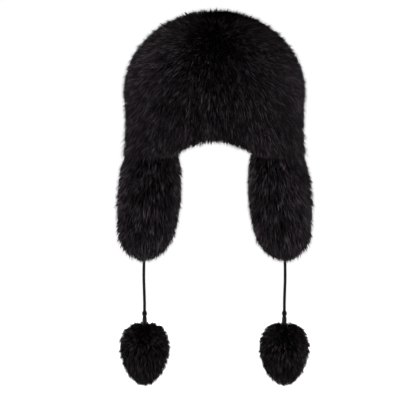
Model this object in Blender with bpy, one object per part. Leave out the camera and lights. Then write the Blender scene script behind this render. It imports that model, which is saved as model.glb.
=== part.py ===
"""Ushanka in long black fur: a hollow crown under a deep fur coat, two furred ear flaps that hang
from its rim, and on each flap a tie cord with a knot, a sleeve and a fur pompom.

Metres, +Z up, the front towards -Y, left and right as seen from the front. The origin is the
highest point inside the crown, where the top of the head touches it.
"""

import math
import random

import bmesh
import bpy
from mathutils import Vector

# Head hollow and the padded wall round it
HEAD_WIDTH = 0.164
HEAD_LENGTH = 0.208
WALL = 0.004
HOLLOW_DOME_HEIGHT = 0.085
HOLLOW_FULLNESS = 2.3
SIDE_DEPTH = 0.135
BROW_RISE = 0.024
BROW_HALF_ANGLE = math.radians(42)

# Fur coat of the crown, measured to the tips of its locks
SIDE_PILE = 0.039
TOP_PILE = 0.035
COAT_DOME_HEIGHT = 0.105
COAT_FULLNESS = 1.9
COAT_OVERHANG = 0.005
COAT_TUCK = 0.02
COAT_BODY_SHARE = 0.68
COAT_LOCK_PITCH = 0.022
COAT_LOCK_COMB = 0.08

# Ear flaps, measured to the tips of their locks and bent round the sides of the head
FLAP_BREADTH = 0.140
FLAP_THICKNESS = 0.088
FLAP_BOTTOM = -0.306
FLAP_TURN = math.radians(8)
FLAP_OUT = 0.0905
FLAP_LEAN = 0.0077
FLAP_LOCK_RELIEF = 0.012
FLAP_LOCK_PITCH = 0.017
FLAP_LOCK_COMB = 0.10
FLAP_HEADROOM = 0.002
SEAM_START = math.radians(50)
SEAM_END = math.radians(118)

# Tie cords and what hangs on them
CORD_DIAMETER = 0.0042
CORD_DROP = 0.085
CORD_ANCHOR_DEPTH = 0.040
CORD_POINT_SPACING = 0.0075
KNOT_WIDTH = 0.0072
KNOT_HEIGHT = 0.0070
SLEEVE_LENGTH = 0.0130
SLEEVE_WIDTH = 0.0068
POMPOM_WIDTH = 0.069
POMPOM_LENGTH = 0.092
POMPOM_SHOULDER_RISE = 0.006
POMPOM_LOCK_RELIEF = 0.0085
POMPOM_LOCK_PITCH = 0.013
POMPOM_LOCK_COMB = 0.18

# Clearances
SEAT_GAP = 0.0003
FOOT_CLEARANCE = 0.0008

# How finely the forms are faceted
CROWN_SIDES = 36
COAT_SIDES = 72
COAT_ROWS = 15
FLAP_SIDES = 40
FLAP_ROWS = 10
POMPOM_SIDES = 32
POMPOM_ROWS = 8
TURNED_SIDES = 16
CORD_BEVEL_STEPS = 2
LOCK_SEED = 11
LOCK_LENGTH_SPREAD = 0.15

# Share of a crown profile's run that is dome, and the rows of its wall; the rest is upright
DOME_RUN = 0.64
WALL_ROWS = (0.08, 0.18, 0.29, 0.40, 0.52, 0.64, 0.82, 1.0)

# Ear flap sections from seam to tip: drop down the flap, size of its thickness and of its front
# half as a share of the widest, and aft, the same for its back half
FLAP_SECTIONS = (
    {"drop": 0.00, "size": 0.88, "aft": 1.16, "outer": 0.72},
    {"drop": 0.09, "size": 0.92, "aft": 1.16, "outer": 0.78},
    {"drop": 0.26, "size": 0.97, "aft": 1.12, "outer": 0.93},
    {"drop": 0.45, "size": 1.00, "aft": 1.05, "outer": 1.00},
    {"drop": 0.57, "size": 0.975, "aft": 0.985, "outer": 0.985},
    {"drop": 0.68, "size": 0.945, "aft": 0.91, "outer": 0.955},
    {"drop": 0.79, "size": 0.875, "aft": 0.83, "outer": 0.90},
    {"drop": 0.86, "size": 0.79, "aft": 0.74, "outer": 0.83},
    {"drop": 0.91, "size": 0.68, "aft": 0.64, "outer": 0.73},
    {"drop": 0.965, "size": 0.48, "aft": 0.45, "outer": 0.52},
    {"drop": 1.00, "size": 0.26, "aft": 0.26, "outer": 0.26},
)

# Pompom sections: drop below its shoulder and radius as a share of its widest
POMPOM_SECTIONS = (
    {"drop": 0.00, "size": 0.34},
    {"drop": 0.04, "size": 0.58},
    {"drop": 0.12, "size": 0.80},
    {"drop": 0.25, "size": 0.96},
    {"drop": 0.40, "size": 1.00},
    {"drop": 0.58, "size": 0.93},
    {"drop": 0.74, "size": 0.79},
    {"drop": 0.86, "size": 0.57},
    {"drop": 0.95, "size": 0.26},
    {"drop": 1.00, "size": 0.06},
)

# Route of a tie cord from its flap to its knot, in shares of the drop between them
CORD_ROUTE = (
    {"down": 0.00, "aside": 0.000, "fore": 0.000},
    {"down": 0.22, "aside": 0.007, "fore": 0.006},
    {"down": 0.45, "aside": 0.010, "fore": 0.009},
    {"down": 0.68, "aside": 0.004, "fore": 0.004},
    {"down": 0.86, "aside": 0.000, "fore": 0.000},
    {"down": 1.00, "aside": 0.000, "fore": 0.000},
)

# Knot and sleeve outlines from foot to top: shares of the height and of half the width
KNOT_PROFILE = (
    {"rise": 0.02, "size": 0.73},
    {"rise": 0.20, "size": 0.92},
    {"rise": 0.42, "size": 1.00},
    {"rise": 0.62, "size": 0.97},
    {"rise": 0.82, "size": 0.84},
    {"rise": 0.98, "size": 0.72},
)
SLEEVE_PROFILE = (
    {"rise": 0.00, "size": 0.80},
    {"rise": 0.15, "size": 0.92},
    {"rise": 0.48, "size": 1.00},
    {"rise": 0.82, "size": 0.90},
    {"rise": 1.00, "size": 0.80},
)

SIDES = {"left": -1, "right": 1}


def clear_scene():
    for old in list(bpy.data.objects):
        bpy.data.objects.remove(old)


def make_material(name, colour, roughness):
    material = bpy.data.materials.new(name)
    material.use_nodes = True
    shader = material.node_tree.nodes["Principled BSDF"]
    shader.inputs["Base Color"].default_value = (*colour, 1.0)
    shader.inputs["Roughness"].default_value = roughness
    return material


def add_object(name, bm, material, smooth_angle=None):
    """Turns the closed bmesh into a named object with its faces outwards."""
    bmesh.ops.recalc_face_normals(bm, faces=bm.faces)
    mesh = bpy.data.meshes.new(name)
    bm.to_mesh(mesh)
    bm.free()
    if smooth_angle is not None:
        mesh.shade_smooth()
        mesh.set_sharp_from_angle(angle=smooth_angle)
    mesh.materials.append(material)
    obj = bpy.data.objects.new(name, mesh)
    bpy.context.collection.objects.link(obj)
    return obj


# Rings, rows of plain quads and rows of locks


def turns(count):
    return [i / count for i in range(count)]


def circle(count, radius, height):
    return [
        Vector(
            (
                radius * math.cos(2 * math.pi * turn),
                radius * math.sin(2 * math.pi * turn),
                height,
            )
        )
        for turn in turns(count)
    ]


def add_ring(bm, points):
    return [bm.verts.new(point) for point in points]


def add_quads(bm, upper, lower):
    for i in range(len(upper)):
        bm.faces.new((upper[i - 1], lower[i - 1], lower[i], upper[i]))


def add_pole(bm, ring, point):
    pole = bm.verts.new(point)
    for i in range(len(ring)):
        bm.faces.new((ring[i - 1], ring[i], pole))


def girth(ring):
    return sum((ring[i].co - ring[i - 1].co).length for i in range(len(ring)))


def lock_span(upper, lower, pitch):
    """How many sides of a ring one lock spans so that it is about a pitch wide."""
    count = len(upper)
    wanted = pitch * count / max(girth(upper), girth(lower))
    spans = [n for n in range(1, count // 4 + 1) if count % n == 0]
    return min(spans, key=lambda n: abs(math.log(n / wanted)))


def add_locks(bm, upper, lower, row, pitch, tip_at):
    """A row of pointed locks between two rings, staggered against the row above.

    tip_at(turn) gives a lock's tip, with turn from 0 to 1 round the ring.
    """
    count = len(upper)
    span = lock_span(upper, lower, pitch)
    start = (span // 2) * (row % 2)
    for first in range(start, count + start, span):
        places = [(first + i) % count for i in range(span + 1)]
        loop = [upper[i] for i in places] + [lower[i] for i in reversed(places)]
        tip = bm.verts.new(tip_at((first + span / 2) / count))
        for i in range(len(loop)):
            bm.faces.new((loop[i - 1], loop[i], tip))


def lock_tip(body, envelope, turn, drop, comb, lowest, rng):
    """The tip of a lock rooted on the body and combed down, at the fur's envelope."""
    root = body(turn, drop)
    tip = envelope(turn, min(drop * (1 + comb), lowest))
    return root.lerp(tip, 1 - LOCK_LENGTH_SPREAD * rng.random())


def section_size(sections, drop, column="size"):
    """Reads a column of a section table between its rows."""
    for above, below in zip(sections, sections[1:]):
        if drop <= below["drop"]:
            part = (drop - above["drop"]) / (below["drop"] - above["drop"])
            return above[column] + part * (below[column] - above[column])
    return sections[-1][column]


# Crown and its coat


def rim_height(angle):
    """Height of the crown's rim at an angle from the front: level, but raised over the brow."""
    off_front = abs(math.remainder(angle, 2 * math.pi))
    if off_front >= BROW_HALF_ANGLE:
        return -SIDE_DEPTH
    rise = BROW_RISE * (1 + math.cos(math.pi * off_front / BROW_HALF_ANGLE)) / 2
    return rise - SIDE_DEPTH


def crown_point(turn, run, grown, top, dome_height, fullness, overhang=0.0, tuck=0.0):
    """A point of a crown surface grown out from the hollow, at a share of its run from the top."""
    angle = 2 * math.pi * turn
    if run <= DOME_RUN:
        bend = run / DOME_RUN * math.pi / 2
        spread = math.sin(bend) ** (2 / fullness)
        height = top - dome_height * (1 - max(math.cos(bend), 0.0) ** (2 / fullness))
    else:
        part = (run - DOME_RUN) / (1 - DOME_RUN)
        shoulder = top - dome_height
        spread = 1 - tuck * part * part
        height = shoulder + part * (rim_height(angle) - overhang - shoulder)
    across = (HEAD_WIDTH / 2 + grown) * spread * math.sin(angle)
    along = -(HEAD_LENGTH / 2 + grown) * spread * math.cos(angle)
    return Vector((across, along, height))


def hollow_point(turn, run, grown=0.0):
    """A point of the hollow's skin, or of a skin that lies a thickness outside it."""
    return crown_point(turn, run, grown, grown, HOLLOW_DOME_HEIGHT + grown, HOLLOW_FULLNESS)


def coat_tip_point(turn, run):
    grown = WALL + SIDE_PILE
    top = WALL + TOP_PILE
    return crown_point(
        turn, run, grown, top, COAT_DOME_HEIGHT, COAT_FULLNESS, COAT_OVERHANG, COAT_TUCK
    )


def coat_body_point(turn, run):
    """The dense part of the coat, inside the free ends of its locks."""
    skin = hollow_point(turn, run, WALL + SEAT_GAP)
    return skin.lerp(coat_tip_point(turn, run), COAT_BODY_SHARE)


def coat_hang():
    """How far the lowest locks hang below the rim beside the flaps."""
    lowest = (1 - 0.5 / COAT_ROWS) * (1 + COAT_LOCK_COMB)
    return -SIDE_DEPTH - coat_tip_point(0.25, lowest).z


def add_hollow_skin(bm, sides, grown):
    """Adds a closed dome of rings and returns the ring at the rim."""
    rings = [
        add_ring(bm, [hollow_point(turn, run, grown) for turn in turns(sides)])
        for run in WALL_ROWS
    ]
    add_pole(bm, rings[0], hollow_point(0.0, 0.0, grown))
    for upper, lower in zip(rings, rings[1:]):
        add_quads(bm, upper, lower)
    return rings[-1]


def build_crown(material):
    bm = bmesh.new()
    inner_rim = add_hollow_skin(bm, CROWN_SIDES, 0.0)
    outer_rim = add_hollow_skin(bm, CROWN_SIDES, WALL)
    add_quads(bm, outer_rim, inner_rim)
    return add_object("crown", bm, material, math.radians(40))


def build_crown_fur(material):
    bm = bmesh.new()
    rng = random.Random(LOCK_SEED)
    inner_edge = add_hollow_skin(bm, COAT_SIDES, WALL + SEAT_GAP)
    runs = [(row + 1) / COAT_ROWS for row in range(COAT_ROWS)]
    rings = [
        add_ring(bm, [coat_body_point(turn, run) for turn in turns(COAT_SIDES)]) for run in runs
    ]
    add_pole(bm, rings[0], coat_tip_point(0.0, 0.0))
    for row in range(COAT_ROWS - 1):
        centre = (runs[row] + runs[row + 1]) / 2

        def tip_at(turn):
            lowest = 1 + COAT_LOCK_COMB
            comb = COAT_LOCK_COMB
            return lock_tip(coat_body_point, coat_tip_point, turn, centre, comb, lowest, rng)

        add_locks(bm, rings[row], rings[row + 1], row, COAT_LOCK_PITCH, tip_at)
    add_quads(bm, rings[-1], inner_edge)
    return add_object("crown_fur", bm, material)


# Ear flaps


def flap_roof(x, y):
    """Height of a flap's top, below the rim and below the coat's lowest locks."""
    angle = math.atan2(abs(x) / HEAD_WIDTH, -y / HEAD_LENGTH)
    oval = math.hypot(x / (HEAD_WIDTH / 2 + WALL), y / (HEAD_LENGTH / 2 + WALL))
    off_wall = abs(oval - 1) * (HEAD_WIDTH / 2 + WALL)
    return rim_height(angle) - FLAP_HEADROOM - coat_hang() * off_wall / SIDE_PILE


def flap_place(side, fore, out, drop=0.0):
    """A place in a flap's own plan: fore along its bend round the head, out through its thickness."""
    bend = FLAP_OUT + FLAP_LEAN * drop**2
    angle = FLAP_TURN + fore / bend
    away = bend + out
    return Vector((side * away * math.cos(angle), -away * math.sin(angle), 0.0))


def flap_point(side, turn, drop, inset):
    """A point of a flap's section, with inset the depth below its locks' tips."""
    angle = 2 * math.pi * turn
    size = section_size(FLAP_SECTIONS, drop)
    sunk = inset * math.sqrt(size)
    half = size if math.cos(angle) > 0 else section_size(FLAP_SECTIONS, drop, "aft")
    fore = (FLAP_BREADTH / 2 * half - sunk) * math.cos(angle)
    girth = size if math.sin(angle) < 0 else section_size(FLAP_SECTIONS, drop, "outer")
    out = (FLAP_THICKNESS / 2 * girth - sunk) * math.sin(angle)
    place = flap_place(side, fore, out, drop)
    roof = flap_roof(place.x, place.y)
    place.z = roof + (FLAP_BOTTOM + inset - roof) * drop
    return place


def flap_foot(side):
    """The middle of a flap's underside, where its tie cord leaves it."""
    foot = flap_place(side, 0.0, 0.0, 1.0)
    foot.z = FLAP_BOTTOM + FLAP_LOCK_RELIEF
    return foot


def seam_point(side, turn):
    """The outline of the edge that is sewn to the rim, under the crown's wall."""
    along = 2 * min(turn, 1 - turn)
    angle = SEAM_START + (SEAM_END - SEAM_START) * along
    if turn in (0.0, 0.5):
        grown = WALL / 2
    else:
        grown = WALL if turn < 0.5 else 0.0
    place = hollow_point(side * angle / (2 * math.pi), 1.0, grown)
    place.z = rim_height(angle)
    return place


def build_flap(name, side, material):
    bm = bmesh.new()
    rng = random.Random(LOCK_SEED)

    def body(turn, drop):
        return flap_point(side, turn, drop, FLAP_LOCK_RELIEF)

    def envelope(turn, drop):
        return flap_point(side, turn, drop, 0.0)

    sewn = [seam_point(side, turn) for turn in turns(FLAP_SIDES)]
    seam_top = add_ring(bm, [place - Vector((0.0, 0.0, SEAT_GAP)) for place in sewn])
    seam_foot = add_ring(
        bm, [Vector((p.x, p.y, p.z - FLAP_HEADROOM - SEAT_GAP)) for p in sewn]
    )
    half = FLAP_SIDES // 2
    for i in range(half):
        outer = seam_top[i : i + 2]
        inner = [seam_top[-i - 1], seam_top[-i]] if i else [seam_top[-1]]
        corners = outer + inner
        bm.faces.new(list(dict.fromkeys(corners)))

    drops = [row / FLAP_ROWS for row in range(FLAP_ROWS)]
    drops.append(FLAP_SECTIONS[-2]["drop"])
    rings = [add_ring(bm, [body(t, drop) for t in turns(FLAP_SIDES)]) for drop in drops]
    add_quads(bm, seam_top, seam_foot)
    add_quads(bm, seam_foot, rings[0])
    for row in range(len(rings) - 1):
        centre = (drops[row] + drops[row + 1]) / 2

        def tip_at(turn):
            return lock_tip(body, envelope, turn, centre, FLAP_LOCK_COMB, 1.0, rng)

        add_locks(bm, rings[row], rings[row + 1], row, FLAP_LOCK_PITCH, tip_at)

    foot_radius = CORD_DIAMETER / 2 + FOOT_CLEARANCE
    foot = flap_foot(side)

    def foot_point(turn, radius, height):
        angle = 2 * math.pi * turn
        place = flap_place(side, radius * math.cos(angle), radius * math.sin(angle), 1.0)
        place.z = foot.z + height
        return place

    def foot_tip_at(turn):
        return foot_point(turn, foot_radius + FLAP_LOCK_RELIEF / 2, -FLAP_LOCK_RELIEF)

    foot_ring = add_ring(bm, [foot_point(t, foot_radius, 0.0) for t in turns(FLAP_SIDES)])
    add_locks(bm, rings[-1], foot_ring, len(rings), FLAP_LOCK_PITCH, foot_tip_at)
    bm.faces.new(foot_ring)
    return add_object(name, bm, material)


# Tie cords, knots, sleeves and pompoms, each below the one before it


def cord_start(side):
    return flap_foot(side) - Vector((0.0, 0.0, SEAT_GAP))


def knot_foot(side):
    return cord_start(side) - Vector((0.0, 0.0, CORD_DROP + KNOT_HEIGHT))


def sleeve_foot(side):
    return knot_foot(side) - Vector((0.0, 0.0, SEAT_GAP + SLEEVE_LENGTH))


def pompom_seat(side):
    return sleeve_foot(side) - Vector((0.0, 0.0, SEAT_GAP))


def smooth_point(before, start, end, after, part):
    """A point of the smooth curve that runs through four points in turn, between the middle two."""
    pull = (end - before) / 2
    push = (after - start) / 2
    return (
        start * (2 * part**3 - 3 * part**2 + 1)
        + end * (3 * part**2 - 2 * part**3)
        + pull * (part**3 - 2 * part**2 + part)
        + push * (part**3 - part**2)
    )


def cord_points(side):
    start = cord_start(side)
    stops = [
        start
        + CORD_DROP * Vector((side * row["aside"], -row["fore"], -row["down"]))
        for row in CORD_ROUTE
    ]
    anchor = pompom_seat(side) - Vector((0.0, 0.0, CORD_ANCHOR_DEPTH))
    ends = [stops[0] * 2 - stops[1]] + stops + [anchor]
    places = []
    for i in range(1, len(ends) - 2):
        steps = max(1, round((ends[i + 1] - ends[i]).length / CORD_POINT_SPACING))
        for step in range(steps):
            places.append(smooth_point(*ends[i - 1 : i + 3], step / steps))
    steps = math.ceil((anchor - stops[-1]).length / CORD_POINT_SPACING)
    places += [stops[-1].lerp(anchor, step / steps) for step in range(steps + 1)]
    return places


def build_cord(name, side, material):
    places = cord_points(side)
    route = bpy.data.curves.new(name, "CURVE")
    route.dimensions = "3D"
    route.bevel_depth = CORD_DIAMETER / 2
    route.bevel_resolution = CORD_BEVEL_STEPS
    route.use_fill_caps = True
    spline = route.splines.new("POLY")
    spline.points.add(len(places) - 1)
    for point, place in zip(spline.points, places):
        point.co = (*place, 1.0)
    route.materials.append(material)
    obj = bpy.data.objects.new(name, route)
    bpy.context.collection.objects.link(obj)
    return obj


def build_threaded(name, foot, profile, width, height, lobes, material):
    """A turned body with a bore that the cord runs through; lobes makes it lumpy like a knot."""
    bm = bmesh.new()
    bore = CORD_DIAMETER / 2 + SEAT_GAP
    rings = [add_ring(bm, circle(TURNED_SIDES, bore, 0.0))]
    for row in profile:
        ring = circle(TURNED_SIDES, row["size"] * width / 2, row["rise"] * height)
        for i, place in enumerate(ring):
            turn = i / TURNED_SIDES + row["rise"] / 3
            dent = 1 - 0.09 * (1 + math.cos(2 * math.pi * lobes * turn)) / 2 if lobes else 1
            place.x *= dent
            place.y *= dent
        rings.append(add_ring(bm, ring))
    rings.append(add_ring(bm, circle(TURNED_SIDES, bore, height)))
    for upper, lower in zip(rings, rings[1:] + rings[:1]):
        add_quads(bm, upper, lower)
    obj = add_object(name, bm, material, math.radians(40))
    obj.location = foot
    return obj


def build_pompom(name, side, material):
    """An egg of fur in locks, combed down from a flat seat, with a bore for the cord's end."""
    bm = bmesh.new()
    rng = random.Random(LOCK_SEED)
    bore = CORD_DIAMETER / 2 + SEAT_GAP

    def point(turn, drop, inset):
        angle = 2 * math.pi * turn
        size = section_size(POMPOM_SECTIONS, drop)
        radius = POMPOM_WIDTH / 2 * size - inset * math.sqrt(size)
        height = POMPOM_SHOULDER_RISE - inset - (POMPOM_LENGTH - 2 * inset) * drop
        return Vector((radius * math.cos(angle), radius * math.sin(angle), height))

    def body(turn, drop):
        return point(turn, drop, POMPOM_LOCK_RELIEF)

    def envelope(turn, drop):
        return point(turn, drop, 0.0)

    drops = [0.03 + 0.97 * (row / POMPOM_ROWS) for row in range(POMPOM_ROWS)]
    well = add_ring(bm, circle(POMPOM_SIDES, bore, -CORD_ANCHOR_DEPTH - SEAT_GAP))
    mouth = add_ring(bm, circle(POMPOM_SIDES, bore, 0.0))
    seat = add_ring(bm, circle(POMPOM_SIDES, SLEEVE_WIDTH / 2 + SEAT_GAP, 0.0))
    rings = [add_ring(bm, [body(t, drop) for t in turns(POMPOM_SIDES)]) for drop in drops]
    bm.faces.new(well)
    add_quads(bm, well, mouth)
    add_quads(bm, mouth, seat)
    add_quads(bm, seat, rings[0])
    for row in range(len(rings) - 1):
        centre = (drops[row] + drops[row + 1]) / 2

        def tip_at(turn):
            return lock_tip(body, envelope, turn, centre, POMPOM_LOCK_COMB, 1.0, rng)

        add_locks(bm, rings[row], rings[row + 1], row, POMPOM_LOCK_PITCH, tip_at)
    add_pole(bm, rings[-1], Vector((0.0, 0.0, POMPOM_SHOULDER_RISE - POMPOM_LENGTH)))
    pompom = add_object(name, bm, material)
    pompom.location = pompom_seat(side)
    return pompom


def main():
    clear_scene()
    fur = make_material("long_fur", (0.012, 0.010, 0.012), 0.55)
    wall = make_material("crown_wall", (0.018, 0.016, 0.018), 0.80)
    cord = make_material("tie_cord", (0.015, 0.012, 0.015), 0.60)
    sleeve = make_material("cord_sleeve", (0.030, 0.030, 0.033), 0.35)
    build_crown(wall)
    build_crown_fur(fur)
    for word, side in SIDES.items():
        build_flap("ear_flap_" + word, side, fur)
        build_cord("tie_cord_" + word, side, cord)
        build_threaded(
            "cord_knot_" + word, knot_foot(side), KNOT_PROFILE, KNOT_WIDTH, KNOT_HEIGHT, 3, cord
        )
        build_threaded(
            "cord_sleeve_" + word,
            sleeve_foot(side),
            SLEEVE_PROFILE,
            SLEEVE_WIDTH,
            SLEEVE_LENGTH,
            0,
            sleeve,
        )
        build_pompom("pompom_" + word, side, fur)


main()
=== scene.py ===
"""The looks of a ushanka in long black fur: its coat and flaps in hair, its lining, and its tie
cords with their knots, sleeves and pompoms, over a pale floor in soft light.

Metres, +Z up, the front towards -Y, left and right as seen from the front.
"""

import math

import bmesh
import bpy
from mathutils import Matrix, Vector


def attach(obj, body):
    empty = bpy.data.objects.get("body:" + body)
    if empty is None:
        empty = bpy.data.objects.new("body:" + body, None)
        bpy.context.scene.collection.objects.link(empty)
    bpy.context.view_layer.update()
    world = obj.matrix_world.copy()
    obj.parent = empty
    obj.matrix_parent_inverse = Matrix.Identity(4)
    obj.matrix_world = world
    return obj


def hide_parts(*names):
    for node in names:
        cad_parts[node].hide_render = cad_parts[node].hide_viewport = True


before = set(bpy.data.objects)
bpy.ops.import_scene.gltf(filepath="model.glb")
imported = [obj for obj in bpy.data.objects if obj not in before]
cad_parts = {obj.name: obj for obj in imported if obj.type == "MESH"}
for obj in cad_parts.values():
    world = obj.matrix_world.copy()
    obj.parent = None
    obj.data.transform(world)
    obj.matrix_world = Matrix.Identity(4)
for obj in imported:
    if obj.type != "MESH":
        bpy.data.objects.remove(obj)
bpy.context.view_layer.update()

# Sizes shared with the part

HEAD_WIDTH = 0.164
HEAD_LENGTH = 0.208
WALL = 0.004
HOLLOW_DOME_HEIGHT = 0.085
HOLLOW_FULLNESS = 2.3
SIDE_DEPTH = 0.135
BROW_RISE = 0.024
BROW_HALF_ANGLE = math.radians(42)
SIDE_PILE = 0.039
TOP_PILE = 0.035
COAT_DOME_HEIGHT = 0.105
COAT_FULLNESS = 1.9
COAT_OVERHANG = 0.005
COAT_TUCK = 0.02
DOME_RUN = 0.64
FLAP_BREADTH = 0.140
FLAP_THICKNESS = 0.088
FLAP_BOTTOM = -0.306
FLAP_TURN = math.radians(8)
FLAP_OUT = 0.0905
FLAP_LEAN = 0.0077
FLAP_LOCK_RELIEF = 0.012
FLAP_HEADROOM = 0.002
COAT_HANG = 0.0146
CORD_DIAMETER = 0.0042
CORD_DROP = 0.085
CORD_ANCHOR_DEPTH = 0.040
CORD_POINT_SPACING = 0.0075
KNOT_WIDTH = 0.0072
KNOT_HEIGHT = 0.0070
SLEEVE_LENGTH = 0.0130
SLEEVE_WIDTH = 0.0068
POMPOM_WIDTH = 0.069
POMPOM_LENGTH = 0.092
POMPOM_SHOULDER_RISE = 0.006
SEAT_GAP = 0.0003

FLAP_SECTIONS = (
    {"drop": 0.00, "size": 0.88, "aft": 1.16, "outer": 0.72},
    {"drop": 0.09, "size": 0.92, "aft": 1.16, "outer": 0.78},
    {"drop": 0.26, "size": 0.97, "aft": 1.12, "outer": 0.93},
    {"drop": 0.45, "size": 1.00, "aft": 1.05, "outer": 1.00},
    {"drop": 0.57, "size": 0.975, "aft": 0.985, "outer": 0.985},
    {"drop": 0.68, "size": 0.945, "aft": 0.91, "outer": 0.955},
    {"drop": 0.79, "size": 0.875, "aft": 0.83, "outer": 0.90},
    {"drop": 0.86, "size": 0.79, "aft": 0.74, "outer": 0.83},
    {"drop": 0.91, "size": 0.68, "aft": 0.64, "outer": 0.73},
    {"drop": 0.965, "size": 0.48, "aft": 0.45, "outer": 0.52},
    {"drop": 1.00, "size": 0.26, "aft": 0.26, "outer": 0.26},
)
POMPOM_SECTIONS = (
    {"drop": 0.00, "size": 0.34},
    {"drop": 0.04, "size": 0.58},
    {"drop": 0.12, "size": 0.80},
    {"drop": 0.25, "size": 0.96},
    {"drop": 0.40, "size": 1.00},
    {"drop": 0.58, "size": 0.93},
    {"drop": 0.74, "size": 0.79},
    {"drop": 0.86, "size": 0.57},
    {"drop": 0.95, "size": 0.26},
    {"drop": 1.00, "size": 0.06},
)
CORD_ROUTE = (
    {"down": 0.00, "aside": 0.000, "fore": 0.000},
    {"down": 0.22, "aside": 0.007, "fore": 0.006},
    {"down": 0.45, "aside": 0.010, "fore": 0.009},
    {"down": 0.68, "aside": 0.004, "fore": 0.004},
    {"down": 0.86, "aside": 0.000, "fore": 0.000},
    {"down": 1.00, "aside": 0.000, "fore": 0.000},
)
SLEEVE_PROFILE = (
    {"rise": 0.00, "size": 0.80},
    {"rise": 0.05, "size": 0.88},
    {"rise": 0.16, "size": 0.94},
    {"rise": 0.32, "size": 0.99},
    {"rise": 0.48, "size": 1.00},
    {"rise": 0.62, "size": 0.985},
    {"rise": 0.74, "size": 0.95},
    {"rise": 0.84, "size": 0.89},
    {"rise": 0.92, "size": 0.81},
    {"rise": 1.00, "size": 0.73},
)
SIDES = {"left": -1, "right": 1}

# How the hair lies: whorls that it grows away from, and how hard it hangs down from them
CROWN_WHORL = Vector((0.0, -0.060, 0.034))
CROWN_FALL = 0.10
RIM_FALL = 0.60
BACK_FALL = 0.90
FLAP_WHORL_RISE = 0.020
FLAP_FALL = 0.30
POMPOM_WHORL_RISE = 0.004
POMPOM_FALL = 0.10

# Node trees


class Board:
    """Adds nodes to a tree and joins their sockets."""

    def __init__(self, tree):
        self.tree = tree

    def add(self, kind, feeds=(), **settings):
        node = self.tree.nodes.new(kind)
        for name, value in settings.items():
            setattr(node, name, value)
        sockets = [socket for socket in node.inputs if socket.enabled]
        pairs = feeds.items() if isinstance(feeds, dict) else enumerate(feeds)
        for key, source in pairs:
            if isinstance(key, int):
                socket = sockets[key]
            else:
                socket = next(s for s in sockets if s.name == key)
            self.feed(socket, source)
        return node

    def feed(self, socket, source):
        if isinstance(source, bpy.types.NodeSocket):
            self.tree.links.new(source, socket)
        elif source is not None:
            socket.default_value = source

    def out(self, kind, feeds=(), output=None, **settings):
        node = self.add(kind, feeds, **settings)
        sockets = [socket for socket in node.outputs if socket.enabled]
        if output is None:
            return sockets[0]
        return next(s for s in sockets if s.name == output)

    def math(self, operation, *feeds):
        return self.out("ShaderNodeMath", feeds, operation=operation)

    def vector(self, operation, *feeds):
        return self.out("ShaderNodeVectorMath", feeds, operation=operation)

    def scaled(self, vector, amount):
        node = self.add("ShaderNodeVectorMath", {"Scale": amount}, operation="SCALE")
        self.feed(node.inputs[0], vector)
        return node.outputs[0]

    def mixed(self, amount, first, second):
        return self.out("ShaderNodeMix", (amount, first, second), data_type="VECTOR")

    def blended(self, amount, first, second):
        return self.out("ShaderNodeMix", (amount, first, second), data_type="RGBA")

    def named(self, name, data_type="FLOAT_VECTOR"):
        feeds = {"Name": name}
        return self.out("GeometryNodeInputNamedAttribute", feeds, data_type=data_type)

    def stored(self, geometry, name, value, data_type="FLOAT_VECTOR", domain="POINT"):
        feeds = {"Geometry": geometry, "Name": name, "Value": value}
        kind = "GeometryNodeStoreNamedAttribute"
        return self.out(kind, feeds, data_type=data_type, domain=domain)


def new_group(name, kind, inputs, outputs):
    """A node group with its named sockets; inputs and outputs are (name, socket type, default)."""
    tree = bpy.data.node_groups.new(name, kind)
    for direction, sockets in (("INPUT", inputs), ("OUTPUT", outputs)):
        for label, socket_type, default in sockets:
            socket = tree.interface.new_socket(label, in_out=direction, socket_type=socket_type)
            if default is not None:
                socket.default_value = default
    board = Board(tree)
    source = board.add("NodeGroupInput")
    target = board.add("NodeGroupOutput")
    return board, source.outputs, target.inputs


# Hair

ROOT_DEPTH = 0.001
BEND_SHARE = 0.45
TIP_WAVE = 3.0
BEND_PULL = 0.45
LEAST_PULL = 0.55
TUFT_TONE = 0.25
CELL_HALF_WIDTH = 0.42
CELL_FOOT = 0.06
CELL_HEIGHT = 0.88
# Which random draws are whose: a seed plus a step of its own
HAIR_STEP = 0
PULL_STEP = 7
GIRTH_STEP = 8
TUFT_STEP = 50


def drawn(board, given, step, low=0.0, high=1.0, data_type="FLOAT"):
    """A random value for each point; each step of the tree draws its own."""
    feeds = {"Min": low, "Max": high, "Seed": board.math("ADD", given["Seed"], step)}
    return board.out("FunctionNodeRandomValue", feeds, data_type=data_type)


def hair_wave(board, given, root):
    """A slow drift in the lie of the hair, shared by hairs that stand close together."""
    scale = board.math("DIVIDE", 1.0, given["Wave Size"])
    feeds = {"Vector": root, "Scale": scale, "Detail": 1.0}
    wave = board.out("ShaderNodeTexNoise", feeds, output="Color")
    return board.scaled(board.vector("SUBTRACT", wave, (0.5, 0.5, 0.5)), given["Wave"])


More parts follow.
